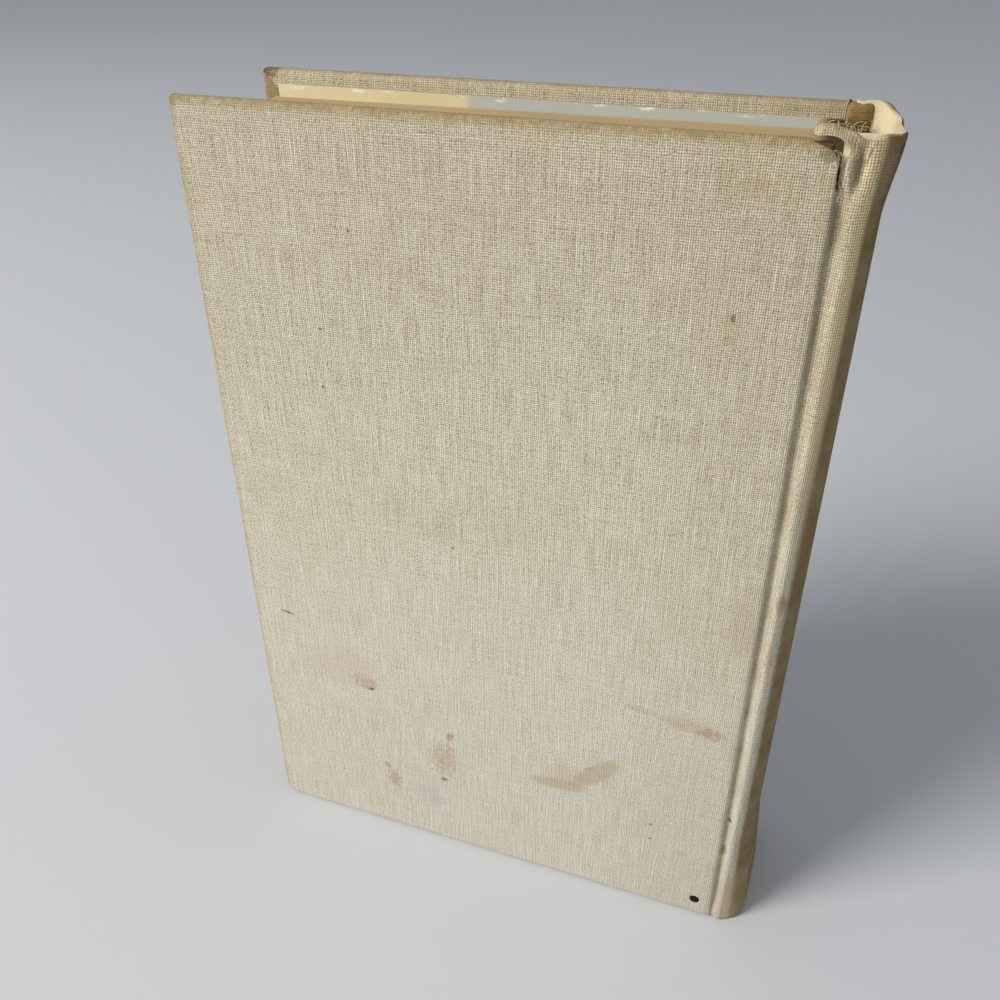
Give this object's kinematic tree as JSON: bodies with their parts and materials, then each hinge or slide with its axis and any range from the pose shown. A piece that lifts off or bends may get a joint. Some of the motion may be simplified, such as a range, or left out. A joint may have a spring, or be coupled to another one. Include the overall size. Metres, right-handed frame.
{
  "type": "hardback book",
  "caption": "Linen-covered hardback book standing on its tail: boards, cloth, endpapers, sewn leaves and lined spine, both covers hinged.",
  "frame": {"origin": "bottom centre of the book's box, on the surface that its tail stands on", "axes": "+X from the fore edge to the spine, +Y from the back cover to the front cover, +Z from tail to head"},
  "size_m": [0.149, 0.0412, 0.2185],
  "materials": {
    "linen": "matte",
    "leaves": "matte",
    "endpaper": "matte",
    "lining_paper": "matte",
    "mull": "matte",
    "card": "matte",
    "board": "matte"
  },
  "bodies": {
    "block": {"text_block": "leaves", "back_flyleaf": "endpaper", "front_flyleaf": "endpaper", "mull": "mull", "spine_lining": "lining_paper", "spine_inlay": "card", "spine_cloth": "linen"},
    "back_cover": {"back_board": "board", "back_cloth": "linen", "back_mull_flange": "mull", "back_pastedown": "endpaper"},
    "front_cover": {"front_board": "board", "front_cloth": "linen", "front_mull_flange": "mull", "front_pastedown": "endpaper"}
  },
  "joints": [
    {"name": "back_joint", "type": "hinge", "parent": "block", "child": "back_cover", "pos_m": [0.0645, -0.02065, 0.108], "axis": [0, 0, 1], "range_deg": [0, 178]},
    {"name": "front_joint", "type": "hinge", "parent": "block", "child": "front_cover", "pos_m": [0.0645, 0.02065, 0.108], "axis": [0, 0, -1], "range_deg": [0, 178]}
  ]
}
